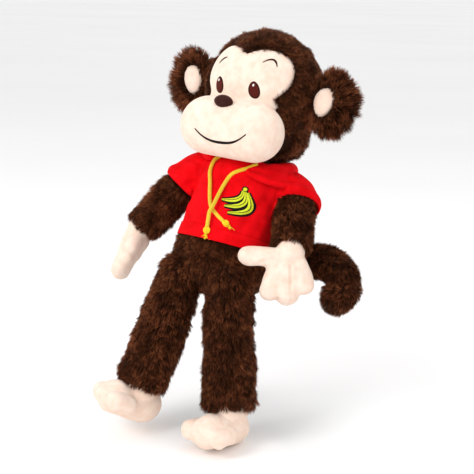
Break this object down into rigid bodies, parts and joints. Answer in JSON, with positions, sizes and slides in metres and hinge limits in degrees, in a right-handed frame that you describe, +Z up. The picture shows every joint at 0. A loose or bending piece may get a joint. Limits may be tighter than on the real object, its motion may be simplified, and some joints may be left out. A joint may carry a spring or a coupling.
{
  "type": "stuffed monkey",
  "caption": "Sitting plush monkey in a hooded top with drawcords, long fur arms, legs and tail, and soft velour face, hands and feet.",
  "frame": {"origin": "on the flat face under the seat", "axes": "+Z up, the monkey looks along -Y, +X is its left side"},
  "size_m": [0.27, 0.2382, 0.4019],
  "materials": {
    "brown_fur": "long-pile plush fur, dark brown with reddish tips",
    "cream_velour": "short-pile velour, matte",
    "red_knit": "brushed knit fleece, matte",
    "yellow_cord": "braided cotton cord",
    "dark_thread": "satin-stitched embroidery thread, slight sheen",
    "black_thread": "satin-stitched backing",
    "banana_thread": "satin-stitched embroidery thread",
    "stuffing": "polyester fibre filling",
    "pellet_bag": "woven bag of plastic pellets"
  },
  "bodies": {
    "torso": {"torso_cover": "brown_fur", "torso_stuffing": "stuffing", "seat_pellet_bag": "pellet_bag", "hoodie_body": "red_knit", "hoodie_hem": "red_knit", "hood": "red_knit", "neck_casing": "red_knit", "cord_eyelets": "red_knit", "drawcord_left": "yellow_cord", "drawcord_right": "yellow_cord", "drawcord_knot_left": "yellow_cord", "drawcord_knot_right": "yellow_cord", "patch_backing": "black_thread", "patch_bananas": "banana_thread"},
    "neck": {"neck_stuffing": "brown_fur"},
    "head": {"head_cover": "brown_fur", "head_stuffing": "stuffing", "face_panel": "cream_velour", "muzzle_cover": "cream_velour", "muzzle_stuffing": "stuffing", "nose": "dark_thread", "eye_left": "dark_thread", "eye_right": "dark_thread", "brow_left": "dark_thread", "brow_right": "dark_thread", "mouth_stitch": "dark_thread", "ear_left": "brown_fur", "ear_right": "brown_fur", "ear_lining_left": "cream_velour", "ear_lining_right": "cream_velour"},
    "arm_left": {"sleeve_left": "red_knit", "arm_left": "brown_fur", "arm_stuffing_left": "stuffing"},
    "arm_right": {"sleeve_right": "red_knit", "arm_right": "brown_fur", "arm_stuffing_right": "stuffing"},
    "hand_left": {"hand_left": "cream_velour", "hand_stuffing_left": "stuffing"},
    "hand_right": {"hand_right": "cream_velour", "hand_stuffing_right": "stuffing"},
    "leg_left": {"leg_left": "brown_fur", "leg_stuffing_left": "stuffing"},
    "leg_right": {"leg_right": "brown_fur", "leg_stuffing_right": "stuffing"},
    "foot_left": {"foot_left": "cream_velour", "foot_stuffing_left": "stuffing"},
    "foot_right": {"foot_right": "cream_velour", "foot_stuffing_right": "stuffing"},
    "tail": {"tail_cover": "brown_fur", "tail_stuffing": "stuffing"}
  },
  "joints": [
    {"name": "neck_nod", "type": "hinge", "parent": "torso", "child": "neck", "pos_m": [0.0156, 0.049, 0.14842], "axis": [0.9945, 0, -0.1045], "range_deg": [-12, 1]},
    {"name": "head_turn", "type": "hinge", "parent": "neck", "child": "head", "pos_m": [0.0156, 0.049, 0.14842], "axis": [0.0982, 0.342, 0.9345], "range_deg": [-25, 25]},
    {"name": "shoulder_left", "type": "hinge", "parent": "torso", "child": "arm_left", "pos_m": [0.07126, 0.04036, 0.10401], "axis": [0.9945, 0, -0.1045], "range_deg": [-60, 4]},
    {"name": "shoulder_right", "type": "hinge", "parent": "torso", "child": "arm_right", "pos_m": [-0.04808, 0.04036, 0.11655], "axis": [0.9945, 0, -0.1045], "range_deg": [-60, 40]},
    {"name": "wrist_left", "type": "hinge", "parent": "arm_left", "child": "hand_left", "pos_m": [0.08826, -0.00964, 0.05801], "axis": [0.9945, 0, -0.1045], "range_deg": [-12, 12]},
    {"name": "wrist_right", "type": "hinge", "parent": "arm_right", "child": "hand_right", "pos_m": [-0.09608, 0.00836, 0.05555], "axis": [0.9945, 0, -0.1045], "range_deg": [-12, 12]},
    {"name": "hip_left", "type": "hinge", "parent": "torso", "child": "leg_left", "pos_m": [0.028, -0.026, 0.022], "axis": [1, 0, 0], "range_deg": [-55, 5]},
    {"name": "hip_right", "type": "hinge", "parent": "torso", "child": "leg_right", "pos_m": [-0.027, -0.026, 0.022], "axis": [1, 0, 0], "range_deg": [-55, 5]},
    {"name": "ankle_left", "type": "hinge", "parent": "leg_left", "child": "foot_left", "pos_m": [0.048, -0.06, -0.101], "axis": [1, 0, 0], "range_deg": [-12, 12]},
    {"name": "ankle_right", "type": "hinge", "parent": "leg_right", "child": "foot_right", "pos_m": [-0.048, -0.072, -0.09], "axis": [1, 0, 0], "range_deg": [-12, 12]},
    {"name": "tail_swing", "type": "hinge", "parent": "torso", "child": "tail", "pos_m": [0.012, 0.057, 0.015], "axis": [0, 0, 1], "range_deg": [-4, 35]}
  ]
}
